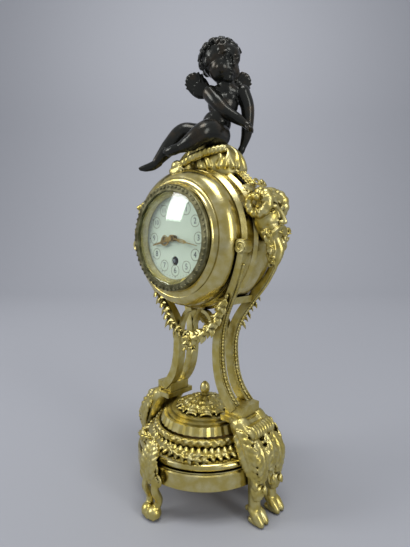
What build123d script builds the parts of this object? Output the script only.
from build123d import *
import os
from math import cos, sin, pi, radians, hypot, atan2, degrees, sqrt

# Gilt-bronze mantel timepiece on two satyr uprights, with a seated winged child on top.
# Millimetres. X is to the right of the dial, Y to the back, Z up.
# The dial faces -Y and the origin lies on the floor under the clock's axis.

# Fits shared by all pieces
seat_gap = 0.05
cast_gap = 0.15
run_gap = 0.06
door_gap = 0.3
cut_over = 4.0

# Base, a stack of turned and fluted rings
band_bottom = 24.2
band_r = 50.5
band_h = 11.5
band_wall = 4.0
band_edge = 0.8
roll_h = 6.4
roll_in = 1.9
roll_foot_h = 1.3
roll_foot_in = 1.1
roll_neck_in = 4.1
cove_h = 4.6
cove_in = 4.5
cove_hollow = 5.4
cove_waist_share = 0.45
flute_depth = 0.9
flute_count = 40
leaf_h = 6.2
leaf_in = 2.4
leaf_bulge = 2.0
frieze_h = 5.4
frieze_in = 4.8
frieze_lean = 2.2
frieze_depth = 0.7
cap_h = 3.4
cap_in = 3.0
cap_step_in = 3.2
cap_step_h = 1.7
ring_bore_in = 7.2
boss_in = 4.5
boss_top_r = 7.0
boss_h = 7.6
boss_depth = 1.8
boss_leaves = 12
boss_bulge_share = 0.86
boss_bulge_at_share = 0.45
finial_h = 11.2
finial_r = 3.6
finial_neck_r = 2.5
finial_tip_r = 0.7
finial_bulb_share = 0.62
finial_bead_share = 0.22
base_plate_h = 2.0
rod_r = 1.8
nut_r = 3.6
nut_h = 2.6

# Feet of the base, front and back
foot_out = 2.6
foot_leaf_w = 17.0
foot_leaf_top = 57.0
foot_leaf_t = 4.6
foot_leaf_bow_share = 0.5
foot_leaf_root_share = 0.62
foot_leaf_wide_share = 0.4
foot_sole = 0.6
foot_stem_r = 2.6
foot_stem_apart = 4.6
foot_knob_r = 5.2
foot_knob_apart = 2.9

# Satyr legs, a pair under each upright
leg_out = 5.4
leg_apart = 9.4
leg_top = 63.0
thigh_r = 7.6
hoof_l = 15.0
hoof_w = 8.4
hoof_h = 9.5
hoof_slit = 1.2
hoof_top_share = 0.66
leg_out_shares = (0.73, 0.85, 0.965, 0.975, 0.96, 0.955)
leg_up_shares = (0.99, 0.83, 0.64, 0.45, 0.28, 0.10)
leg_girth_shares = (0.92, 1.0, 0.93, 0.70, 0.60, 0.56)
leg_leaf_w = 15.0
leg_leaf_h = 26.0
leg_leaf_t = 4.0
leg_scroll_r = 5.0
leg_scroll_w = 15.0

# Uprights, two bars each that part into arms round the drum
block_w = 26.2
block_d = 15.0
block_h = 7.6
block_lip = 1.1
upright_bottom = 70.6
saddle_h = 65.5
bar_w = 7.0
bar_t = 6.5
arm_clear = -0.4
arm_spread = 20.0
bar_out_shares = (0.69, 0.545, 0.44, 0.396, 0.39, 0.42)
bar_up_shares = (0.0, 0.12, 0.282, 0.462, 0.633, 0.787)
arm_bearings = (-64.1, -51.5, -35.5, -17.4, -5.7)
arm_round_shares = (1.168, 1.05, 1.0, 0.99, 0.995)
bar_side_shares = (0.365, 0.365, 0.365, 0.365, 0.365, 0.40, 0.50, 0.66, 0.84, 0.97, 1.0)
bar_width_shares = (1.0, 1.0, 1.0, 1.0, 1.0, 0.95, 0.86, 0.8, 0.76, 0.72, 0.66)
bar_thick_shares = (1.0, 1.0, 1.0, 0.97, 0.95, 0.92, 0.85, 0.78, 0.72, 0.66, 0.6)
arm_scroll_r = 4.4
arm_scroll_w = 7.0
tie_w = 4.6
tie_t = 3.4
tie_stage_count = 7
stay_t = 2.6
stay_w = 4.4
stay_out_shares = (0.37, 0.30, 0.20, 0.10)
stay_up_shares = (0.684, 0.855, 0.966, 0.997)

# Drum case, turned about a level axis
drum_r = 51.6
drum_wall = 5.2
drum_front = -17.4
drum_back = 26.0
drum_mouth_in = 4.2
drum_shoulder_in = 2.0
drum_ring_half = 7.5
drum_ring_flat = 5.5
drum_shoulder_half = 14.5
drum_tail_in = 9.1
lip_depth_share = 1.5
door_r = 35.0
front_y = -33.2
front_lip_r = 36.2
front_cove_r = 40.6
front_cove_y = -30.6
front_roll_in = 5.0
front_mouth_r = 33.6
front_bore_r = 39.0
front_web = 3.2
front_web_r = 31.6

# Bezel with its glass and the gilt slip behind it
bezel_r = 35.6
bezel_d = 3.6
bezel_round = 1.6
arc_share = 0.29
bezel_sight_r = 31.4
bezel_rebate_r = 33.2
bezel_rebate_d = 1.7
glass_t = 1.2
glass_rise = 5.2
slip_r = 28.0
slip_t = 0.7
slip_back = -30.1
hinge_out = 2.3
hinge_r = 1.3
hinge_pin_r = 0.55
hinge_w = 12.0
hinge_split_share = 0.36
hinge_knuckle_gap = 0.25

# Rear door
door_t = 1.6
door_rim = 2.2
door_knob_r = 2.6
door_knob_l = 4.6
door_knob_neck_share = 0.5
door_knob_at_share = 0.82

# Dial, hands and motion work
dial_y = -29.5
dial_t = 1.0
dial_r = 33.3
dial_foot_r = 0.9
dial_foot_ring_r = 30.2
winding_drop = 15.4
winding_hole_r = 3.1
dial_hole_r = 2.0
minute_len = 24.6
minute_angle = 101.7
hour_len = 21.7
hour_angle = 256.9
hand_t = 0.5
hand_boss_r = 2.3
minute_w = 2.6
hour_w = 6.6
hour_hand_y = -31.0
minute_hand_y = -32.9
pipe_r = 0.9
hour_pipe_r = 1.5
hand_nut_r = 1.5
hand_nut_h = 1.0
hand_leaf_share = 0.4
hand_leaf_half_share = 0.2
hand_window_share = 0.6
hand_stem_share = 0.2
hand_tip_share = 0.3

# Movement plates
plate_r = 36.2
back_plate_r = 33.0
plate_t = 1.6
front_plate_y = -22.4
plate_gap = 16.4
pillar_r = 1.9
pillar_ring_r = 30.0
pillar_count = 4
pillar_bearing = 45.0
screw_r = 0.9
screw_head_r = 1.7
screw_head_h = 1.0
screw_l = 4.4
screw_ring_r = 34.0
front_screws = 3
front_screw_turn = 30.0
strap_w = 6.0
strap_t = 1.2
strap_foot = 4.6
strap_bearing = 45.0

# Wheel train: tooth counts and modules
tooth_add_share = 0.85
tooth_root_share = 1.35
tooth_tip_half_share = 0.05
tooth_root_half_share = 0.15
barrel_teeth = 54
pinion_teeth = 6
centre_teeth = 48
third_teeth = 45
fourth_teeth = 42
cannon_teeth = 8
cannon_l = 1.6
minute_wheel_teeth = 24
minute_pinion_teeth = 8
hour_wheel_teeth = 32
third_pitch = 11.34
fourth_pitch = 10.2
escape_pitch = 9.12
motion_pitch = 6.0
third_bearing = 120.0
fourth_bearing = 30.0
escape_bearing = 0.0
lever_bearing = -40.0
balance_bearing = -62.0
arbor_r = 0.7
pivot_r = 0.5
end_shake = 0.15
wheel_t = 1.0
pinion_l = 2.8
rim_share = 0.80
hub_share = 0.28
spoke_count = 4
spoke_w = 1.2
centre_layer = 1.3
third_layer = 12.6
fourth_layer = 9.0
escape_layer = 5.0
barrel_layer = 4.2

# Barrel, mainspring and winding work
barrel_l = 9.6
barrel_r = 12.2
barrel_wall = 0.8
barrel_rim_l = 1.8
barrel_hub_r = 2.6
winding_r = 1.9
square_w = 2.3
square_out = 1.0
spring_t = 0.35
spring_turns = 7
spring_steps = 14
ratchet_teeth = 16
ratchet_r = 5.0
ratchet_depth = 0.9
ratchet_t = 1.2
ratchet_lift = 0.5
click_bearing = 38.0
click_out = 7.6
click_r = 1.1
click_nose_gap = 0.2
click_pin_r = 0.5
click_nose_share = 0.42
click_reach = 32.0
saw_back_share = 0.18

# Lever escapement and balance
escape_teeth = 15
escape_r = 6.5
escape_depth = 1.7
lever_pitch = 8.2
lever_clear = 0.45
lever_w = 1.1
pallet_angle = 36.0
pallet_w = 0.8
balance_pitch = 9.6
balance_r = 8.0
balance_rim = 1.1
balance_layer = 9.4
balance_t = 1.2
roller_r = 2.1
roller_t = 0.5
roller_pin_r = 0.25
roller_pin_ring_r = 1.6
fork_gap = 0.25
hair_layer = 11.8
hair_h = 0.6
hair_t = 0.16
hair_turns = 6
hair_r = 4.6

# Masks, swags and garlands
mask_h = 53.0
mask_lift = 7.3
mask_face_r = 11.4
mask_depth_share = 0.20
mask_root_share = 0.085
mask_head_up_share = 0.09
mask_head_h_share = 0.33
beard_up_shares = (-0.04, -0.22, -0.38, -0.50)
beard_out_shares = (0.125, 0.165, 0.17, 0.175)
beard_girth_shares = (0.185, 0.17, 0.115, 0.045)
nose_out_shares = (0.25, 0.30)
nose_up_shares = (0.20, 0.055)
nose_girth_shares = (0.045, 0.07)
horn_ring_share = 0.181
horn_tube_share = 0.083
horn_out_share = 0.03
horn_up_share = 0.265
horn_side_shares = (0.15, 0.36)
horn_turn_shares = (0.30, -1.35)
horn_curl_share = 0.55
horn_tip_share = 0.45
horn_steps = 9
mask_screw_r = 1.5
mask_screw_head_r = 2.8
mask_screw_head_h = 1.4
mask_screw_bite = 5.0
swag_r = 2.6
swag_knot_r = 4.6
swag_stage_count = 6
swag_drop = 17.0
swag_sag_share = 0.16
garland_r = 3.0
garland_from = 57.0
garland_to = 36.0
bow_r = 4.4
bow_width_share = 1.5

# Seat and seated child on top
seat_lift = 15.7
cushion_l = 27.0
cushion_d = 20.0
cushion_h = 21.0
cushion_crown = 1.6
cushion_x = 3.0
cushion_y = 3.0
drape_r = 4.2
drape_shares = ((-0.03, -0.335, -0.26), (0.075, -0.29, -0.155), (0.2, -0.2, -0.1),
                (0.335, -0.07, -0.075))
drape_girth_shares = (1.35, 0.95, 1.0, 0.9)
figure_h = 75.0
torso_shares = ((0.067, 0.067, 0.0), (0.075, 0.07, 0.09), (0.093, 0.087, 0.225), (0.14, 0.129, 0.42),
                (0.15, 0.14, 0.63))
torso_girth_shares = ((0.145, 0.125), (0.155, 0.13), (0.125, 0.10), (0.15, 0.108), (0.06, 0.06))
head_shares = (0.115, 0.10, 0.793)
head_girth_shares = (0.185, 0.185, 0.205)
right_leg_shares = ((-0.005, 0.10, 0.05), (-0.10, -0.05, 0.10), (-0.17, -0.15, 0.115),
                    (-0.235, -0.25, -0.03), (-0.30, -0.35, -0.17), (-0.345, -0.395, -0.205),
                    (-0.415, -0.445, -0.24))
right_leg_girth_shares = (0.105, 0.095, 0.075, 0.07, 0.043, 0.045, 0.026)
left_leg_shares = ((0.14, 0.02, 0.06), (0.185, -0.14, 0.055), (0.18, -0.25, 0.015),
                   (0.10, -0.30, -0.05), (0.0, -0.335, -0.085), (-0.065, -0.35, -0.105))
left_leg_girth_shares = (0.105, 0.10, 0.082, 0.07, 0.045, 0.03)
right_arm_shares = ((0.035, 0.03, 0.475), (0.13, 0.03, 0.38), (0.215, 0.05, 0.28), (0.31, 0.10, 0.21),
                    (0.40, 0.145, 0.125))
right_arm_girth_shares = (0.068, 0.062, 0.052, 0.045, 0.035)
left_arm_shares = ((0.265, 0.245, 0.49), (0.30, 0.28, 0.34), (0.28, 0.29, 0.12), (0.235, 0.285, -0.01),
                   (0.215, 0.27, -0.075))
left_arm_girth_shares = (0.066, 0.055, 0.045, 0.037, 0.042)
wing_root_shares = ((-0.005, 0.055, 0.50), (0.12, 0.215, 0.52))
wing_l_share = 0.30
wing_w_share = 0.22
wing_t = 1.6
limb_start_share = 1.03
limb_end_share = 1.05
wing_back_share = 0.06
wing_rise = 48.0
figure_turn = 42.8
stud_bite = 9.0
stud_x_share = 0.07
stud_y_share = 0.035

# Places worked out from the sizes: each ring of the base steps in from the one below,
# the feet stand round the band, and the drum, masks and seat rise with the uprights
roll_r = band_r - roll_in
roll_foot_r = band_r - roll_foot_in
roll_neck_r = band_r - roll_neck_in
cove_r = band_r - cove_in
cove_waist_r = cove_r - cove_hollow
leaf_r = cove_waist_r - leaf_in
leaf_neck_r = leaf_r - leaf_bulge
frieze_r = leaf_r - frieze_in
frieze_top_r = frieze_r - frieze_lean
cap_r = frieze_top_r - cap_in
cap_step_r = cap_r - cap_step_in
ring_bore_r = frieze_top_r - ring_bore_in
boss_r = cap_step_r - boss_in
foot_stand = band_r + foot_out
leg_stand = band_r + leg_out
drum_z = upright_bottom + saddle_h + drum_r
drum_mouth_r = drum_r - drum_mouth_in
drum_shoulder_r = drum_r - drum_shoulder_in
drum_tail_r = drum_r - drum_tail_in
front_roll_r = drum_r - front_roll_in
mask_z = drum_z + mask_lift
seat_z = drum_z + drum_r + seat_lift
band_top = band_bottom + band_h
roll_top = band_top + roll_h
cove_top = roll_top + cove_h
leaf_top = cove_top + leaf_h
frieze_top = leaf_top + frieze_h
cap_top = frieze_top + cap_h
boss_top = cap_top + boss_h
finial_top = boss_top + finial_h
back_plate_y = front_plate_y + plate_gap
arm_reach = drum_r + arm_clear
winding_z = drum_z - winding_drop

MIN = (Align.CENTER, Align.CENTER, Align.MIN)
nodes = {}


# Shapes that several pieces share

def profile(start, *steps):
    """Flat outline: a step is a point, or a (middle, end) pair for an arc."""
    edges = []
    here = start
    for step in steps:
        if isinstance(step[0], tuple):
            edges.append(ThreePointArc(here, step[0], step[1]))
            here = step[1]
        else:
            edges.append(Line(here, step))
            here = step
    edges.append(Line(here, start))
    return make_face(Curve() + edges)


def turned(start, *steps):
    """Piece turned about the upright axis, from (radius, height) points."""
    return revolve(Plane.XZ * profile(start, *steps), Axis.Z)


def drum_turned(start, *steps):
    """Piece turned about the drum's level axis, from (radius, depth) points."""
    return Pos(0, 0, drum_z) * revolve(profile(start, *steps), Axis.Y)


def rod(radius, length):
    return Cylinder(radius, length, align=MIN)


def level(x, y_back, z):
    """Places a piece made along +Z so that it points to the front."""
    return Pos(x, y_back, z) * Rot(90, 0, 0)


def star(outer, depth, count):
    """Scalloped outline of a fluted ring."""
    points = []
    for i in range(2 * count):
        radius = outer - depth * (i % 2)
        turn = pi * i / count
        points.append((radius * cos(turn), radius * sin(turn)))
    return make_face(Polyline(*points, close=True))


def fluted(depth, count, *rings):
    """Fluted ring through (radius, height) stages."""
    return loft([Pos(0, 0, z) * star(r, depth, count) for r, z in rings], ruled=True)


def stations(path, side):
    """Planes square to a path, with their X axes kept near one side."""
    planes = []
    for i, place in enumerate(path):
        before = Vector(*path[max(i - 1, 0)])
        after = Vector(*path[min(i + 1, len(path) - 1)])
        along = (after - before).normalized()
        across = Vector(*side) - along * Vector(*side).dot(along)
        planes.append(Plane(origin=place, x_dir=across.normalized(), z_dir=along))
    return planes


def limb(path, radii, side=(0, 0, 1)):
    """Round limb that swells and tapers along a path."""
    planes = stations(path, side)
    return loft([plane * Circle(radius) for plane, radius in zip(planes, radii)])


def strap(path, widths, thicks, side=(0, 1, 0)):
    """Flat bar along a path, its width kept near one side."""
    planes = stations(path, side)
    return loft([plane * Rectangle(w, t) for plane, w, t in zip(planes, widths, thicks)])


def ball(place, rx, ry, rz):
    return Pos(*place) * scale(Sphere(rx), by=(1, ry / rx, rz / rx))


def both_sides(solid):
    return mirror(solid, about=Plane.YZ)


# Base rings, from the plain band up to the finial

band_inner = band_r - band_wall
nodes["base_band"] = turned(
    (band_inner, band_bottom), (band_r - band_edge, band_bottom), (band_r, band_bottom + band_edge),
    (band_r, band_top - band_edge), (band_r - band_edge, band_top), (band_inner, band_top))

nodes["base_plate"] = (Pos(0, 0, band_top - base_plate_h) * rod(band_inner - seat_gap, base_plate_h)
                       - Pos(0, 0, band_bottom) * rod(rod_r + seat_gap, band_h + cut_over))

roll_bottom = band_top + seat_gap
nodes["base_roll"] = turned(
    (ring_bore_r, roll_bottom), (roll_foot_r, roll_bottom), (roll_foot_r, band_top + roll_foot_h),
    (roll_neck_r, band_top + roll_foot_h),
    ((roll_r, band_top + (roll_foot_h + roll_h) / 2), (roll_neck_r, roll_top)), (ring_bore_r, roll_top))

cove_waist_z = roll_top + cove_waist_share * cove_h
nodes["fluted_cove"] = (
    fluted(flute_depth, flute_count, (cove_r, roll_top + seat_gap), (cove_waist_r, cove_waist_z),
           (leaf_neck_r + flute_depth, cove_top))
    - Pos(0, 0, band_top) * rod(ring_bore_r, leaf_top))

nodes["leaf_roll"] = turned(
    (ring_bore_r, cove_top + seat_gap), (leaf_neck_r, cove_top + seat_gap),
    ((leaf_r, (cove_top + leaf_top) / 2), (leaf_neck_r, leaf_top)), (ring_bore_r, leaf_top))

rod_bore = Pos(0, 0, band_bottom) * rod(rod_r + seat_gap, finial_top)
frieze_cap = turned(
    (0, frieze_top), (cap_r, frieze_top), (cap_r, frieze_top + cap_step_h),
    (cap_step_r, frieze_top + cap_step_h), (cap_step_r, cap_top), (0, cap_top))
nodes["fluted_frieze"] = fluted(frieze_depth, flute_count, (frieze_r, leaf_top + seat_gap),
                                (frieze_top_r, frieze_top)) + frieze_cap - rod_bore

nodes["foliate_boss"] = fluted(
    boss_depth, boss_leaves, (boss_r, cap_top + seat_gap),
    (boss_r * boss_bulge_share, cap_top + boss_h * boss_bulge_at_share), (boss_top_r, boss_top)) - rod_bore

bead_z = boss_top + finial_h * finial_bead_share
bulb_z = boss_top + finial_h * finial_bulb_share
nodes["boss_finial"] = turned(
    (0, boss_top + seat_gap), (finial_neck_r, boss_top + seat_gap), (finial_neck_r, bead_z),
    ((finial_r, bulb_z), (finial_tip_r, finial_top)), (0, finial_top))
nodes["boss_finial"] -= Pos(0, 0, boss_top - cut_over) * rod(rod_r + seat_gap, bulb_z - boss_top + cut_over)

rod_foot = band_top - base_plate_h - nut_h - seat_gap
nodes["base_rod"] = Pos(0, 0, rod_foot) * rod(rod_r, bulb_z - seat_gap - rod_foot)
nut_blank = extrude(RegularPolygon(nut_r, 6), nut_h) - rod(rod_r + seat_gap, nut_h)

# Outer shape of the base with a casting's clearance, cut from what is fixed to it
base_shell = turned(
    (0, band_bottom - cast_gap), (band_r + cast_gap, band_bottom - cast_gap), (band_r + cast_gap, band_top),
    (roll_foot_r + cast_gap, band_top + roll_foot_h), (roll_r + cast_gap, band_top + roll_foot_h),
    (roll_r + cast_gap, roll_top + cast_gap), (cove_r + cast_gap, roll_top + cast_gap),
    (cove_waist_r + cast_gap, cove_waist_z + cast_gap), (leaf_r + cast_gap, cove_top + cast_gap),
    (leaf_r + cast_gap, leaf_top + cast_gap), (frieze_r + cast_gap, leaf_top + cast_gap),
    (frieze_top_r + cast_gap, frieze_top + cast_gap), (cap_r + cast_gap, frieze_top + cast_gap),
    (cap_r + cast_gap, cap_top + cast_gap), (0, cap_top + cast_gap))


# Acanthus feet at the front and the back of the base

def acanthus_foot():
    leaf_out = band_r + foot_leaf_t
    leaf_bottom = band_bottom
    leaf_mid = (leaf_bottom + foot_leaf_top) / 2
    leaf_sweep = turned(
        (leaf_neck_r, leaf_bottom), (leaf_out, leaf_bottom),
        ((leaf_out + foot_leaf_t * foot_leaf_bow_share, leaf_mid), (roll_neck_r, foot_leaf_top)),
        (leaf_neck_r, foot_leaf_top))
    half = foot_leaf_w / 2
    root = half * foot_leaf_root_share
    wide_z = leaf_bottom + (foot_leaf_top - leaf_bottom) * foot_leaf_wide_share
    blade = profile((-root, leaf_bottom), ((-half, wide_z), (0, foot_leaf_top)),
                    ((half, wide_z), (root, leaf_bottom)))
    solid = leaf_sweep & extrude(Plane.XZ * blade, leaf_out + cut_over * 2)
    stem = [(foot_stem_apart, -band_r - foot_leaf_t / 2, leaf_bottom + foot_stem_r),
            (foot_stem_apart, -band_r - foot_leaf_t / 2, leaf_bottom - foot_stem_r),
            (foot_stem_apart, -band_r + foot_leaf_t / 2, foot_knob_r * 2),
            (foot_knob_apart, -foot_stand, foot_knob_r)]
    for piece in (limb(stem, [foot_stem_r] * len(stem), side=(1, 0, 0)),
                  Pos(foot_knob_apart, -foot_stand, foot_knob_r - foot_sole) * Sphere(foot_knob_r)):
        solid += piece
        solid += both_sides(piece)
    floor_cut = Pos(0, -foot_stand, 0) * Box(foot_leaf_w * 2, foot_leaf_w * 2, foot_knob_r,
                                             align=(Align.CENTER, Align.CENTER, Align.MAX))
    return solid - base_shell - floor_cut


nodes["front_foot"] = acanthus_foot()
nodes["back_foot"] = Rot(0, 0, 180) * nodes["front_foot"]


# Satyr legs with cloven hooves

def hoof():
    sole = Ellipse(hoof_l / 2, hoof_w / 2)
    crown = Ellipse(hoof_l * hoof_top_share / 2, hoof_w * hoof_top_share / 2)
    horn = loft([sole, Pos(-hoof_l * (1 - hoof_top_share) / 2, 0, hoof_h) * crown])
    slit = Pos(hoof_l / 2, 0, 0) * Box(hoof_l, hoof_slit, hoof_h * hoof_top_share * 2)
    return horn - slit


def leg_pair():
    solid = Part()
    for hand in (-1, 1):
        path = [(leg_stand * out, hand * leg_apart, leg_top * up)
                for out, up in zip(leg_out_shares, leg_up_shares)]
        solid += limb(path, [thigh_r * share for share in leg_girth_shares], side=(0, 1, 0))
        solid += Pos(leg_stand, hand * leg_apart, 0) * hoof()
    scroll_x = leg_stand * leg_out_shares[0] + thigh_r
    solid += Pos(scroll_x, -leg_scroll_w / 2, leg_top - leg_scroll_r) * Rot(-90, 0, 0) * rod(
        leg_scroll_r, leg_scroll_w)
    leaf_path = [(scroll_x + leg_scroll_r / 2, 0, leg_top - leg_scroll_r),
                 (leg_stand + thigh_r / 2, 0, leg_top - leg_leaf_h / 2),
                 (leg_stand + thigh_r / 2, 0, leg_top - leg_leaf_h)]
    solid += strap(leaf_path, [leg_leaf_w, leg_leaf_w, leg_leaf_w / 2], [leg_leaf_t] * 3)
    return solid - base_shell


nodes["right_satyr_legs"] = leg_pair()
nodes["left_satyr_legs"] = both_sides(nodes["right_satyr_legs"])

# Drum case, front moulding and their outer shape with clearance

drum_bore_r = drum_mouth_r - drum_wall
lip_front = drum_back - drum_wall * lip_depth_share
ring_mid = (front_cove_r + front_roll_r) / 2
case_body = drum_turned(
    (drum_bore_r, drum_front), (drum_mouth_r, drum_front),
    (drum_shoulder_r, -drum_shoulder_half), (drum_shoulder_r, -drum_ring_half),
    (drum_r, -drum_ring_flat), (drum_r, drum_ring_flat), (drum_shoulder_r, drum_ring_half),
    (drum_shoulder_r, drum_shoulder_half),
    ((drum_mouth_r, lip_front), (drum_tail_r, drum_back)), (door_r + door_gap, drum_back),
    (door_r + door_gap, drum_back - door_t - door_gap), (door_r - door_rim, drum_back - door_t - door_gap),
    (door_r - door_rim, lip_front), (drum_bore_r, lip_front))

roll_mid_y = (front_cove_y + drum_front) / 2
front_back_y = drum_front - seat_gap
web_front = dial_y + dial_t + seat_gap
web_back = front_plate_y - plate_t - seat_gap
moulding = drum_turned(
    (front_bore_r, front_back_y), (front_bore_r, web_back), (front_web_r, web_back), (front_web_r, web_front),
    (front_mouth_r, web_front), (front_mouth_r, front_y), (front_lip_r, front_y),
    ((front_lip_r + (front_cove_r - front_lip_r) * cove_waist_share, front_cove_y),
     (front_cove_r, front_cove_y)),
    ((ring_mid + front_web, roll_mid_y), (front_roll_r, front_back_y)))

drum_shell = drum_turned(
    (0, front_y), (front_lip_r + cast_gap, front_y), (front_cove_r + cast_gap, front_cove_y - cast_gap),
    ((ring_mid + front_web + cast_gap, roll_mid_y), (front_roll_r + cast_gap, front_back_y)),
    (drum_mouth_r + cast_gap, drum_front),
    (drum_shoulder_r + cast_gap, -drum_shoulder_half), (drum_shoulder_r + cast_gap, -drum_ring_half),
    (drum_r + cast_gap, -drum_ring_flat), (drum_r + cast_gap, drum_ring_flat),
    (drum_shoulder_r + cast_gap, drum_ring_half), (drum_shoulder_r + cast_gap, drum_shoulder_half),
    ((drum_mouth_r + cast_gap, lip_front), (drum_tail_r + cast_gap, drum_back)),
    (0, drum_back))


# Uprights: a block, two bars that part into arms, scrolls, a tie and stays under the drum

def bar_path(hand):
    """Stages of one bar: up from the block, then round the drum as an arm."""
    side = [hand * arm_spread * share for share in bar_side_shares]
    path = [(arm_reach * out, y, upright_bottom + saddle_h * up)
            for out, up, y in zip(bar_out_shares, bar_up_shares, side)]
    for bearing, share, y in zip(arm_bearings, arm_round_shares, side[len(path):]):
        radius = arm_reach * share
        path.append((radius * cos(radians(bearing)), y, drum_z + radius * sin(radians(bearing))))
    return path


def upright():
    solid = Part()
    for hand in (-1, 1):
        path = bar_path(hand)
        solid += strap(path, [bar_w * s for s in bar_width_shares], [bar_t * s for s in bar_thick_shares])
        top = path[-1]
        scroll = Pos(top[0], top[1] - arm_scroll_w / 2, top[2]) * Rot(-90, 0, 0)
        solid += scroll * rod(arm_scroll_r, arm_scroll_w)
        stay = [(arm_reach * out, hand * arm_spread * bar_side_shares[0], upright_bottom + saddle_h * up)
                for out, up in zip(stay_out_shares, stay_up_shares)]
        solid += strap(stay, [stay_w] * len(stay), [stay_t] * len(stay))
    foot = bar_path(1)[0]
    block_bottom = upright_bottom - block_h
    solid += Pos(foot[0], 0, block_bottom) * Box(block_d, block_w - bar_w, block_h + bar_t / 2, align=MIN)
    solid += Pos(foot[0], 0, block_bottom) * Box(block_d + block_lip * 2, block_w, block_h / 2, align=MIN)
    near = bar_path(-1)[tie_stage_count]
    solid += Pos(near[0], 0, near[2]) * Box(tie_t, -near[1] * 2, tie_w)
    return solid - drum_shell - base_shell


nodes["right_upright"] = upright() - nodes["right_satyr_legs"]
nodes["left_upright"] = both_sides(nodes["right_upright"])


# Satyr masks with curled horns

def mask():
    back_x = drum_r
    head_z = mask_z + mask_h * mask_head_up_share
    solid = ball((back_x + mask_h * mask_root_share, 0, head_z), mask_h * mask_depth_share, mask_face_r,
                 mask_h * mask_head_h_share)
    beard = [(back_x + mask_h * out, 0, mask_z + mask_h * up)
             for out, up in zip(beard_out_shares, beard_up_shares)]
    solid += limb(beard, [mask_h * share for share in beard_girth_shares], side=(0, 1, 0))
    nose = [(back_x + mask_h * out, 0, mask_z + mask_h * up)
            for out, up in zip(nose_out_shares, nose_up_shares)]
    solid += limb(nose, [mask_h * share for share in nose_girth_shares], side=(0, 1, 0))
    horn_path = []
    horn_radii = []
    for i in range(horn_steps):
        along = i / (horn_steps - 1)
        turn = pi * (horn_turn_shares[0] + (horn_turn_shares[1] - horn_turn_shares[0]) * along)
        curl = mask_h * horn_ring_share * (1 - (1 - horn_curl_share) * along)
        out_by = horn_side_shares[0] + (horn_side_shares[1] - horn_side_shares[0]) * along
        horn_path.append((back_x + mask_h * horn_out_share + curl * cos(turn), mask_h * out_by,
                          mask_z + mask_h * horn_up_share + curl * sin(turn)))
        horn_radii.append(mask_h * horn_tube_share * (1 - (1 - horn_tip_share) * along))
    horn = limb(horn_path, horn_radii, side=(0, 1, 0))
    solid += horn
    solid += mirror(horn, about=Plane.XZ)
    return solid - drum_shell


nodes["right_mask"] = mask() - nodes["right_upright"]
nodes["left_mask"] = both_sides(nodes["right_mask"])

# Laurel swags between the uprights and garlands on the drum's shoulders

hook = bar_path(1)[swag_stage_count]
swag_y = hook[1] + bar_w * bar_width_shares[swag_stage_count] / 2 + swag_r + cast_gap
swag_low = hook[2] - swag_drop
swag_mid = (hook[0] / 2, swag_y, (hook[2] + swag_low) / 2 - hook[0] * swag_sag_share)
swag_run = ThreePointArc((hook[0], swag_y, hook[2]), swag_mid, (0, swag_y, swag_low))
half_swag = sweep(Plane(origin=swag_run @ 0, z_dir=swag_run % 0) * Circle(swag_r), path=swag_run)
swag = half_swag + both_sides(half_swag) + Pos(0, swag_y, swag_low) * Sphere(swag_knot_r)
nodes["laurel_swags"] = Compound(children=[mirror(swag, about=Plane.XZ), swag])

garland_ring_r = drum_r + garland_r + cast_gap


def on_drum(radius, bearing):
    """Point of the drum's middle plane at a radius and an angle from the level."""
    return (radius * cos(radians(bearing)), 0, drum_z + radius * sin(radians(bearing)))


garland_run = ThreePointArc(on_drum(garland_ring_r, garland_from),
                            on_drum(garland_ring_r, (garland_from + garland_to) / 2),
                            on_drum(garland_ring_r, garland_to))
garland = sweep(Plane(origin=garland_run @ 0, z_dir=garland_run % 0) * Circle(garland_r), path=garland_run)
bow_place = on_drum(garland_ring_r + bow_r, garland_to)
garland += ball(bow_place, bow_r, bow_r * bow_width_share, bow_r)


# Seated child, its cushion and drapery

def figure(shares):
    """Point of the figure from shares of its height above the seat."""
    return (figure_h * shares[0], figure_h * shares[1], seat_z + figure_h * shares[2])


view_side = (cos(radians(figure_turn)), sin(radians(figure_turn)), 0)
view_face = (sin(radians(figure_turn)), -cos(radians(figure_turn)), 0)


def figure_limb(places, girths, spare=0):
    """Limb of the child, rounded at both ends."""
    path = [figure(place) for place in places]
    radii = [figure_h * girth + spare for girth in girths]
    solid = limb(path, radii, side=view_face) + Pos(*path[0]) * Sphere(radii[0] * limb_start_share)
    return solid + Pos(*path[-1]) * Sphere(radii[-1] * limb_end_share)


torso = loft([Plane(origin=figure(place), x_dir=view_side, z_dir=(0, 0, 1))
              * Ellipse(figure_h * girth[0], figure_h * girth[1])
              for place, girth in zip(torso_shares, torso_girth_shares)])
head = ball(figure(head_shares), *[figure_h * share for share in head_girth_shares])
limbs = [(right_leg_shares, right_leg_girth_shares), (left_leg_shares, left_leg_girth_shares),
         (right_arm_shares, right_arm_girth_shares), (left_arm_shares, left_arm_girth_shares)]
child = torso + head
for places, girths in limbs:
    child += figure_limb(places, girths)

stud_x = figure_h * stud_x_share
stud_y = figure_h * stud_y_share
stud_roof = sqrt(drum_bore_r ** 2 - (stud_x + nut_r) ** 2)
stud_nut_z = drum_z + stud_roof - nut_h - run_gap
stud_top = seat_z + stud_bite
stud_bore = Pos(stud_x, stud_y, stud_nut_z) * rod(rod_r + seat_gap, stud_top - stud_nut_z)
nodes["putto"] = child - stud_bore
nodes["putto_stud"] = Pos(stud_x, stud_y, stud_nut_z) * rod(rod_r, stud_top - stud_nut_z - seat_gap)
nodes["fixing_nuts"] = Compound(children=[Pos(0, 0, rod_foot) * nut_blank,
                                          Pos(stud_x, stud_y, stud_nut_z) * nut_blank])

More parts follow.
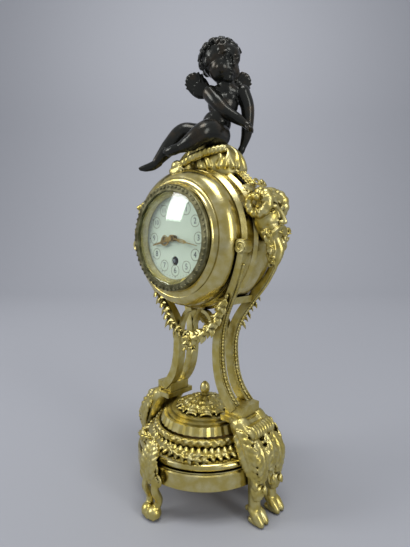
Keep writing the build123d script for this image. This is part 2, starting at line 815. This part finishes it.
fat_limbs = [figure_limb(places, girths, cast_gap) for places, girths in limbs]
cushion = ball((cushion_x, cushion_y, seat_z + cushion_crown - cushion_h), cushion_l, cushion_d, cushion_h)
cushion = cushion - drum_shell - stud_bore
cushion -= Pos(cushion_x, cushion_y, seat_z - seat_gap) * Box(
    cushion_l * 2, cushion_d * 2, cushion_h, align=MIN)
for solid in fat_limbs:
    cushion -= solid
nodes["seat_cushion"] = cushion
right_garland = garland - nodes["right_mask"] - cushion
left_garland = both_sides(garland) - nodes["left_mask"] - cushion
nodes["top_garlands"] = Compound(children=[right_garland, left_garland])
drape_path = [figure(place) for place in drape_shares]
drapery = limb(drape_path, [drape_r * share for share in drape_girth_shares], side=view_face)
drapery = drapery - drum_shell - cushion - fat_limbs[1]
nodes["seat_drapery"] = drapery

wings = []
for hand, root in zip((-1, 1), wing_root_shares):
    rise = radians(wing_rise)
    along = Vector(hand * view_side[0] * cos(rise), hand * view_side[1] * cos(rise), sin(rise))
    back = Vector(*view_face) * (-figure_h * wing_back_share)
    middle = Vector(*figure(root)) + back + along * (figure_h * wing_l_share / 2)
    blade = Plane(origin=middle, x_dir=along, z_dir=view_face) * Ellipse(
        figure_h * wing_l_share / 2, figure_h * wing_w_share / 2)
    wings.append(extrude(blade, wing_t / 2, both=True) - child)
nodes["putto_wings"] = Compound(children=wings)

# Drum case with its holes, and the screws that hold the masks

screw_z = mask_z
screw_start = drum_bore_r - mask_screw_head_h
screw_bore = Pos(0, 0, screw_z) * Rot(0, 90, 0) * Cylinder(
    mask_screw_r + seat_gap, (drum_r + mask_screw_bite + seat_gap) * 2)
head_seat = Pos(0, 0, screw_z) * Rot(0, 90, 0) * Cylinder(
    mask_screw_head_r + seat_gap, (screw_start + mask_screw_head_h) * 2)
mask_screw = Pos(screw_start, 0, screw_z) * Rot(0, 90, 0) * (
    rod(mask_screw_r, drum_r + mask_screw_bite - screw_start) + rod(mask_screw_head_r, mask_screw_head_h))
nodes["mask_screws"] = Compound(children=[mask_screw, both_sides(mask_screw)])
nodes["right_mask"] -= screw_bore
nodes["left_mask"] -= screw_bore

# Hinges of the bezel and of the rear door: a middle knuckle on the leaf, two on the case


def knuckle(x, y, z, length):
    return Pos(x, y, z) * Cylinder(hinge_r, length)


leaf_knuckle_w = hinge_w * hinge_split_share
case_knuckle_w = (hinge_w - leaf_knuckle_w) / 2 - hinge_knuckle_gap
case_knuckle_z = (hinge_w - case_knuckle_w) / 2
bezel_back = front_y - door_gap
bezel_front = bezel_back - bezel_d
hinge_x = -bezel_r - hinge_out
hinge_y = front_y - door_gap / 2
door_hinge_x = -door_r - hinge_out
door_hinge_y = drum_back + hinge_r + run_gap


def pin_hole(x, y):
    return Pos(x, y, drum_z) * Cylinder(hinge_pin_r + run_gap, hinge_w + cut_over)


bezel_pin = Pos(hinge_x, hinge_y, drum_z) * Cylinder(hinge_pin_r, hinge_w)
door_pin = Pos(door_hinge_x, door_hinge_y, drum_z) * Cylinder(hinge_pin_r, hinge_w)
nodes["hinge_pins"] = Compound(children=[bezel_pin, door_pin])
for hand in (-1, 1):
    z = drum_z + hand * case_knuckle_z
    lug_d = front_cove_y + hinge_r - hinge_y
    moulding += knuckle(hinge_x, hinge_y, z, case_knuckle_w)
    moulding += Pos(hinge_x, hinge_y + lug_d / 2, z) * Box(hinge_r * 2, lug_d, case_knuckle_w)
    case_body += knuckle(door_hinge_x, door_hinge_y, z, case_knuckle_w)
    case_body += Pos(door_hinge_x, door_hinge_y - hinge_r, z) * Box(hinge_r * 2, hinge_r * 2, case_knuckle_w)
moulding -= pin_hole(hinge_x, hinge_y)
case_body -= pin_hole(door_hinge_x, door_hinge_y)

bezel = drum_turned(
    (bezel_sight_r, bezel_front), (bezel_r - bezel_round, bezel_front),
    ((bezel_r - bezel_round * arc_share, bezel_front + bezel_round * arc_share),
     (bezel_r, bezel_front + bezel_round)),
    (bezel_r, bezel_back), (bezel_rebate_r, bezel_back), (bezel_rebate_r, bezel_back - bezel_rebate_d),
    (bezel_sight_r, bezel_back - bezel_rebate_d))
bezel_lug_l = hinge_out + (bezel_r - bezel_rebate_r) / 2
bezel += Pos(hinge_x + bezel_lug_l / 2, bezel_back - hinge_r / 2, drum_z) * Box(
    bezel_lug_l, hinge_r, leaf_knuckle_w)
bezel += knuckle(hinge_x, hinge_y, drum_z, leaf_knuckle_w)
nodes["bezel"] = bezel - pin_hole(hinge_x, hinge_y)

glass_front = bezel_back - bezel_rebate_d + seat_gap
glass_back = glass_front + glass_t
glass_edge_r = bezel_rebate_r - seat_gap
dome_r = bezel_sight_r - seat_gap


def dome_arc(radius, rise, foot):
    """Middle and top of a round dome's arc, from its rim to the axis."""
    sphere_r = (radius ** 2 + rise ** 2) / (2 * rise)
    half = atan2(radius, sphere_r - rise) / 2
    return (sphere_r * sin(half), foot - rise + sphere_r * (1 - cos(half))), (0, foot - rise)


nodes["bezel_glass"] = drum_turned(
    (0, glass_front - glass_rise),
    (dome_arc(dome_r, glass_rise, glass_front)[0], (dome_r, glass_front)),
    (glass_edge_r, glass_front), (glass_edge_r, glass_back), (dome_r - glass_t, glass_back),
    dome_arc(dome_r - glass_t, glass_rise, glass_back))

nodes["dial_slip"] = drum_turned(
    (glass_edge_r, glass_back + seat_gap), (glass_edge_r, bezel_back), (glass_edge_r - slip_t, bezel_back),
    (slip_r, slip_back), (slip_r, slip_back - slip_t), (glass_edge_r - slip_t * 2, glass_back + seat_gap))

# Rear door with its knob

door_front = drum_back - door_t
door = drum_turned((0, door_front), (door_r, door_front), (door_r, drum_back), (door_r - door_rim, drum_back),
                   (door_r - door_rim * 2, drum_back + door_rim / 2), (0, drum_back + door_rim / 2))
lug_y = door_hinge_y - hinge_r / 2
door += Pos(door_hinge_x + hinge_out, lug_y, drum_z) * Box(hinge_out * 2, hinge_r, leaf_knuckle_w)
door += Pos(door_hinge_x + hinge_out * 2, lug_y - hinge_r / 2, drum_z) * Box(
    hinge_out, hinge_r * 2, leaf_knuckle_w)
door += knuckle(door_hinge_x, door_hinge_y, drum_z, leaf_knuckle_w)
knob_x = door_r * door_knob_at_share
knob_foot = drum_back + door_rim / 2
knob_neck_r = door_knob_r * door_knob_neck_share
door_bore = level(knob_x, knob_foot, drum_z) * rod(knob_neck_r + seat_gap, door_rim + door_t)
nodes["rear_door"] = door - pin_hole(door_hinge_x, door_hinge_y) - door_bore
knob = (Pos(0, 0, door_rim / 2) * rod(knob_neck_r, door_knob_l / 2 + door_rim / 2)
        + Pos(0, 0, door_knob_l) * Sphere(door_knob_r))
nodes["door_knob"] = Pos(knob_x, knob_foot - door_rim, drum_z) * Rot(-90, 0, 0) * knob

# Movement plates, pillars, straps and screws

pillars = []
for i in range(pillar_count):
    turn = radians(pillar_bearing + 360 * i / pillar_count)
    x = pillar_ring_r * cos(turn)
    z = drum_z + pillar_ring_r * sin(turn)
    pillars.append((x, z))
pillar_l = plate_gap - seat_gap * 2


def movement_screw():
    """Cheese-head screw, head at the bottom, shank up."""
    return Pos(0, 0, -screw_head_h) * rod(screw_head_r, screw_head_h) + rod(screw_r, screw_l)


def train_place(x, z):
    return level(x, back_plate_y, z)


screws = []
pillar_solids = []
for x, z in pillars:
    bored = rod(pillar_r, pillar_l) - rod(screw_r + seat_gap, screw_l)
    pillar_solids.append(level(x, back_plate_y - seat_gap, z) * bored)
    screws.append(level(x, back_plate_y + plate_t + seat_gap, z) * movement_screw())
front_holes = []
for i in range(front_screws):
    turn = radians(front_screw_turn + 360 * i / front_screws)
    x = screw_ring_r * cos(turn)
    z = drum_z + screw_ring_r * sin(turn)
    front_holes.append((x, z))
    screws.append(level(x, front_plate_y + seat_gap, z) * movement_screw())
    moulding -= level(x, front_plate_y, z) * rod(screw_r + seat_gap, screw_l + seat_gap)

strap_mid_r = front_bore_r - strap_t
strap_front_y = web_back + seat_gap
strap_l = lip_front - seat_gap - strap_front_y
straps = []
for hand in (0, 180):
    turn_to = Pos(0, 0, drum_z) * Rot(0, -strap_bearing + hand, 0)
    strip = Pos(0, strap_front_y + strap_l / 2, strap_mid_r) * Box(strap_w, strap_l, strap_t)
    foot_r = strap_mid_r - strap_foot / 2
    end = Pos(0, lip_front - seat_gap - strap_t / 2, foot_r) * Box(strap_w, strap_t, strap_foot)
    hole = Pos(0, lip_front - strap_t * 2, foot_r) * Rot(-90, 0, 0) * rod(screw_r + seat_gap, drum_back)
    straps.append(turn_to * (strip + end - hole))
    sink_y = drum_back - door_t - door_gap - screw_head_h - seat_gap
    screws.append(turn_to * Pos(0, sink_y, foot_r) * Rot(90, 0, 0) * movement_screw())
    sink = Pos(0, sink_y - seat_gap, foot_r) * Rot(-90, 0, 0) * rod(screw_head_r + seat_gap, drum_back)
    case_body -= turn_to * hole
    case_body -= turn_to * sink
nodes["case_straps"] = Compound(children=straps)
nodes["plate_pillars"] = Compound(children=pillar_solids)
nodes["movement_screws"] = Compound(children=screws)
nodes["drum_case"] = case_body - screw_bore - head_seat - stud_bore
nodes["front_moulding"] = moulding

# Wheel work: places, modules and tooth outlines


def along(place, distance, bearing):
    return (place[0] + distance * cos(radians(bearing)), place[1] + distance * sin(radians(bearing)))


centre_at = (0, drum_z)
barrel_at = (0, winding_z)
third_at = along(centre_at, third_pitch, third_bearing)
fourth_at = along(third_at, fourth_pitch, fourth_bearing)
escape_at = along(fourth_at, escape_pitch, escape_bearing)
lever_at = along(escape_at, lever_pitch, lever_bearing)
balance_at = along(lever_at, balance_pitch, balance_bearing)
minute_at = along(centre_at, motion_pitch, 180)
barrel_module = 2 * winding_drop / (barrel_teeth + pinion_teeth)
centre_module = 2 * third_pitch / (centre_teeth + pinion_teeth)
third_module = 2 * fourth_pitch / (third_teeth + pinion_teeth)
fourth_module = 2 * escape_pitch / (fourth_teeth + pinion_teeth)
motion_module = 2 * motion_pitch / (cannon_teeth + minute_wheel_teeth)
hour_module = 2 * motion_pitch / (minute_pinion_teeth + hour_wheel_teeth)


def gear(teeth, module, face, bearing):
    """Toothed disc with one tooth on the given bearing."""
    pitch_r = teeth * module / 2
    root_r = pitch_r - tooth_root_share * module
    tip_r = pitch_r + tooth_add_share * module
    points = []
    for i in range(teeth):
        for radius, shift in ((root_r, -tooth_root_half_share), (tip_r, -tooth_tip_half_share),
                              (tip_r, tooth_tip_half_share), (root_r, tooth_root_half_share)):
            turn = radians(bearing) + 2 * pi * (i + shift) / teeth
            points.append((radius * cos(turn), radius * sin(turn)))
    return extrude(make_face(Polyline(*points, close=True)), face)


def crossed(wheel, teeth, module, face):
    """Cuts the windows between a wheel's spokes."""
    outer = (teeth * module / 2 - tooth_root_share * module) * rim_share
    inner = teeth * module / 2 * hub_share
    window = rod(outer, face) - rod(inner, face)
    for i in range(spoke_count // 2):
        spoke = Pos(0, 0, face / 2) * Box(outer * 2, spoke_w, face)
        window -= Rot(0, 0, 360 * i / spoke_count) * spoke
    return wheel - window


def arbor():
    return (Pos(0, 0, end_shake) * rod(arbor_r, plate_gap - end_shake * 2)
            + Pos(0, 0, -plate_t) * rod(pivot_r, plate_gap + plate_t * 2))


def train_wheel(teeth, module, layer, bearing, pinion_module, pinion_layer, pinion_bearing):
    """Wheel and pinion on one arbor between the plates."""
    wheel = crossed(gear(teeth, module, wheel_t, bearing), teeth, module, wheel_t)
    pinion = gear(pinion_teeth, pinion_module, pinion_l, pinion_bearing)
    middle = (pinion_l - wheel_t) / 2
    return arbor() + Pos(0, 0, layer) * wheel + Pos(0, 0, pinion_layer - middle) * pinion


half_pinion = 180 / pinion_teeth
plate_front = front_plate_y - plate_t
centre = train_wheel(centre_teeth, centre_module, centre_layer, third_bearing, barrel_module, barrel_layer,
                     half_pinion - 90)
nodes["third_wheel"] = train_place(*third_at) * train_wheel(
    third_teeth, third_module, third_layer, fourth_bearing, centre_module, centre_layer,
    third_bearing + 180 + half_pinion)
nodes["fourth_wheel"] = train_place(*fourth_at) * train_wheel(
    fourth_teeth, fourth_module, fourth_layer, escape_bearing, third_module, third_layer,
    fourth_bearing + 180 + half_pinion)


def saw(teeth, tip_r, depth, face):
    """Disc with hooked teeth."""
    points = []
    for i in range(teeth):
        turn = 2 * pi * i / teeth
        step = 2 * pi / teeth * saw_back_share
        points.append((tip_r * cos(turn), tip_r * sin(turn)))
        points.append(((tip_r - depth) * cos(turn + step), (tip_r - depth) * sin(turn + step)))
    return extrude(make_face(Polyline(*points, close=True)), face)


escape_disc = saw(escape_teeth, escape_r, escape_depth, wheel_t)
escape_pinion = gear(pinion_teeth, fourth_module, pinion_l, escape_bearing + 180 + half_pinion)
nodes["escape_wheel"] = train_place(*escape_at) * (
    arbor() + Pos(0, 0, escape_layer) * escape_disc
    + Pos(0, 0, fourth_layer - (pinion_l - wheel_t) / 2) * escape_pinion)

# Centre arbor, cannon pinion, motion work and hands

minute_tip_y = minute_hand_y - hand_t - hand_nut_h
centre_front = back_plate_y - minute_tip_y
nodes["centre_wheel"] = train_place(*centre_at) * (centre + rod(pivot_r, centre_front))

cannon_back = plate_front - run_gap * 2
cannon = gear(cannon_teeth, motion_module, cannon_l, 180) + rod(pipe_r, cannon_back - minute_hand_y + hand_t)
nodes["cannon_pinion"] = level(0, cannon_back, drum_z) * (
    cannon - rod(pivot_r + seat_gap, cannon_back - minute_hand_y + hand_t))

minute_wheel_back = cannon_back - (cannon_l - wheel_t) / 2
minute_pinion_l = minute_wheel_back - wheel_t - (dial_y + dial_t) - run_gap * 4
minute_wheel = (gear(minute_wheel_teeth, motion_module, wheel_t, 180 / minute_wheel_teeth)
                + Pos(0, 0, wheel_t) * gear(minute_pinion_teeth, hour_module, minute_pinion_l, 0))
nodes["minute_wheel"] = level(minute_at[0], minute_wheel_back, minute_at[1]) * (
    minute_wheel - rod(pivot_r + run_gap, minute_pinion_l + wheel_t))
minute_stud = level(minute_at[0], plate_front, minute_at[1]) * rod(
    pivot_r, plate_front - minute_wheel_back + wheel_t + minute_pinion_l)

hour_wheel_back = minute_wheel_back - wheel_t - (minute_pinion_l - wheel_t) / 2
hour_pipe_l = hour_wheel_back - hour_hand_y + hand_t
hour_wheel = gear(hour_wheel_teeth, hour_module, wheel_t, 180 + 180 / hour_wheel_teeth)
hour_wheel += rod(hour_pipe_r, hour_pipe_l)
nodes["hour_wheel"] = level(0, hour_wheel_back, drum_z) * (hour_wheel - rod(pipe_r + run_gap, hour_pipe_l))


def hand_outline(length, width, boss, bore):
    """Pierced hand: ring at the boss, open leaf, slim point."""
    leaf_at = length * hand_leaf_share
    leaf_half = length * hand_leaf_half_share
    flat = Circle(boss)
    flat += Pos(0, leaf_at) * Ellipse(width / 2, leaf_half)
    flat -= Pos(0, leaf_at) * Ellipse(width / 2 * hand_window_share, leaf_half * hand_window_share)
    tail = width * hand_stem_share
    flat += make_face(Polyline((-tail, boss * hand_window_share), (tail, boss * hand_window_share),
                               (tail * hand_tip_share, length), (-tail * hand_tip_share, length),
                               close=True))
    return extrude(flat - Circle(bore), hand_t)


nodes["hour_hand"] = level(0, hour_hand_y, drum_z) * Rot(0, 0, -hour_angle) * hand_outline(
    hour_len, hour_w, hand_boss_r, hour_pipe_r + seat_gap)
nodes["minute_hand"] = level(0, minute_hand_y, drum_z) * Rot(0, 0, -minute_angle) * hand_outline(
    minute_len, minute_w, hand_boss_r, pipe_r + seat_gap)
nodes["hand_nut"] = level(0, minute_hand_y - hand_t - seat_gap, drum_z) * (
    rod(hand_nut_r, hand_nut_h) - rod(pivot_r + seat_gap, hand_nut_h))

# Dial with its feet

dial = drum_turned((0, dial_y), (dial_r, dial_y), (dial_r, dial_y + dial_t), (0, dial_y + dial_t))
dial -= level(0, dial_y + dial_t, drum_z) * rod(dial_hole_r, dial_t)
dial -= level(0, dial_y + dial_t, winding_z) * rod(winding_hole_r, dial_t)
feet = []
for i in range(front_screws):
    turn = radians(front_screw_turn * 3 + 360 * i / front_screws)
    feet.append((dial_foot_ring_r * cos(turn), drum_z + dial_foot_ring_r * sin(turn)))
for x, z in feet:
    dial += level(x, front_plate_y, z) * rod(dial_foot_r, front_plate_y - dial_y - dial_t)
nodes["dial"] = dial

# Barrel, mainspring, winding arbor, ratchet and click

barrel_body = rod(barrel_r, barrel_l - barrel_wall) + gear(barrel_teeth, barrel_module, barrel_rim_l, 90)
barrel_hollow = Pos(0, 0, barrel_wall) * rod(barrel_r - barrel_wall, barrel_l)
nodes["barrel"] = train_place(*barrel_at) * Pos(0, 0, barrel_layer) * (
    barrel_body - barrel_hollow - rod(winding_r + run_gap, barrel_l))
cover_layer = barrel_layer + barrel_l - barrel_wall + seat_gap
nodes["barrel_cover"] = train_place(*barrel_at) * Pos(0, 0, cover_layer) * (
    rod(barrel_r, barrel_wall) - rod(winding_r + run_gap, barrel_wall))


def spiral(inner, outer, turns, thick, height):
    """Flat coil of a band."""
    count = turns * spring_steps
    edge_in = []
    edge_out = []
    for i in range(count + 1):
        radius = inner + (outer - inner) * i / count
        turn = 2 * pi * i / spring_steps
        edge_in.append(((radius - thick / 2) * cos(turn), (radius - thick / 2) * sin(turn)))
        edge_out.append(((radius + thick / 2) * cos(turn), (radius + thick / 2) * sin(turn)))
    return extrude(make_face(Polyline(*edge_in, *reversed(edge_out), close=True)), height)


spring_room = barrel_l - barrel_wall * 2 - run_gap * 2
nodes["mainspring"] = train_place(*barrel_at) * Pos(0, 0, barrel_layer + barrel_wall + run_gap) * spiral(
    barrel_hub_r + spring_t * 2, barrel_r - barrel_wall - spring_t, spring_turns, spring_t, spring_room)

winding_front = plate_front - ratchet_lift - ratchet_t
square_end = dial_y - square_out
winding = (Pos(0, 0, -plate_t) * rod(winding_r, back_plate_y + plate_t - winding_front)
           + Pos(0, 0, barrel_layer + barrel_wall + run_gap) * rod(barrel_hub_r, spring_room)
           + Pos(0, 0, back_plate_y - winding_front) * extrude(
               Rectangle(square_w, square_w), winding_front - square_end))
nodes["winding_arbor"] = train_place(*barrel_at) * winding
nodes["ratchet_wheel"] = level(0, plate_front - ratchet_lift, winding_z) * (
    saw(ratchet_teeth, ratchet_r, ratchet_depth, ratchet_t) - rod(winding_r + seat_gap, ratchet_t))

click_at = along(barrel_at, click_out, click_bearing)
nose_r = click_r * click_nose_share
nose_at = along(barrel_at, ratchet_r + click_nose_gap + nose_r, click_bearing - click_reach)
click_run = hypot(nose_at[0] - click_at[0], nose_at[1] - click_at[1])
click_turn = degrees(atan2(nose_at[1] - click_at[1], nose_at[0] - click_at[0]))
click_arm = Polyline((0, click_r), (click_run, nose_r), (click_run, -nose_r), (0, -click_r), close=True)
click_flat = Circle(click_r) + Pos(click_run, 0) * Circle(nose_r) + make_face(click_arm)
nodes["click"] = level(click_at[0], plate_front - ratchet_lift, click_at[1]) * Rot(0, 0, click_turn) * (
    extrude(click_flat, ratchet_t) - rod(click_pin_r + run_gap, ratchet_t))
click_pin = level(click_at[0], plate_front, click_at[1]) * rod(click_pin_r, ratchet_lift + ratchet_t)

# Lever, balance and hairspring


def bar_between(start, end, width, face):
    """Flat bar between two points of a layer."""
    run = hypot(end[0] - start[0], end[1] - start[1])
    turn = degrees(atan2(end[1] - start[1], end[0] - start[0]))
    return Pos(start[0], start[1], face / 2) * Rot(0, 0, turn) * Pos(run / 2, 0, 0) * Box(run, width, face)


lever = arbor()
back_bearing = lever_bearing + 180
to_wheel = (lever_pitch * cos(radians(back_bearing)), lever_pitch * sin(radians(back_bearing)))
lever_flat = Part()
for hand in (-1, 1):
    tip = along(to_wheel, escape_r + lever_clear + pallet_w / 2, lever_bearing + hand * pallet_angle)
    lever_flat += bar_between((0, 0), tip, lever_w, wheel_t)
fork_run = balance_pitch - roller_pin_ring_r - roller_pin_r - fork_gap
lever_flat += bar_between((0, 0), along((0, 0), fork_run, balance_bearing), lever_w, wheel_t)
reach_room = Pos(to_wheel[0], to_wheel[1], 0) * rod(escape_r + lever_clear, wheel_t)
lever_flat -= reach_room
nodes["pallet_lever"] = train_place(*lever_at) * (lever + Pos(0, 0, escape_layer) * lever_flat)

rim = rod(balance_r, balance_t) - rod(balance_r - balance_rim, balance_t)
rim += Pos(0, 0, balance_t / 2) * Box(balance_r * 2 - balance_rim, spoke_w, balance_t)
roller_z = escape_layer + wheel_t + fork_gap
pin_turn = balance_bearing + 180
pin_spot = along((0, 0), roller_pin_ring_r, pin_turn)
balance = (arbor() + Pos(0, 0, balance_layer) * rim + Pos(0, 0, roller_z) * rod(roller_r, roller_t)
           + Pos(pin_spot[0], pin_spot[1], escape_layer) * rod(roller_pin_r, wheel_t + fork_gap + roller_t))
nodes["balance_wheel"] = train_place(*balance_at) * balance
nodes["hairspring"] = train_place(*balance_at) * Pos(0, 0, hair_layer) * spiral(
    arbor_r + hair_t, hair_r, hair_turns, hair_t, hair_h)

# Plates with their pivot holes

front_disc = level(0, front_plate_y, drum_z) * rod(plate_r, plate_t)
back_disc = level(0, back_plate_y + plate_t, drum_z) * rod(back_plate_r, plate_t)
for x, z in (centre_at, third_at, fourth_at, escape_at, lever_at, balance_at):
    hole = level(x, back_plate_y + plate_t, z) * rod(pivot_r + run_gap, plate_gap + plate_t * 2)
    front_disc -= hole
    back_disc -= hole
barrel_hole = level(0, back_plate_y + plate_t, winding_z) * rod(winding_r + run_gap, plate_gap + plate_t * 2)
front_disc -= barrel_hole
back_disc -= barrel_hole
for x, z in pillars:
    back_disc -= level(x, back_plate_y + plate_t, z) * rod(screw_r + seat_gap, plate_t)
for x, z in front_holes:
    front_disc -= level(x, front_plate_y, z) * rod(screw_r + seat_gap, plate_t)
for x, z in feet:
    front_disc -= level(x, front_plate_y, z) * rod(dial_foot_r + seat_gap, plate_t)
nodes["front_plate"] = front_disc + minute_stud + click_pin
nodes["back_plate"] = back_disc

os.makedirs("parts", exist_ok=True)
for name, solid in nodes.items():
    export_step(solid, f"parts/{name}.step")
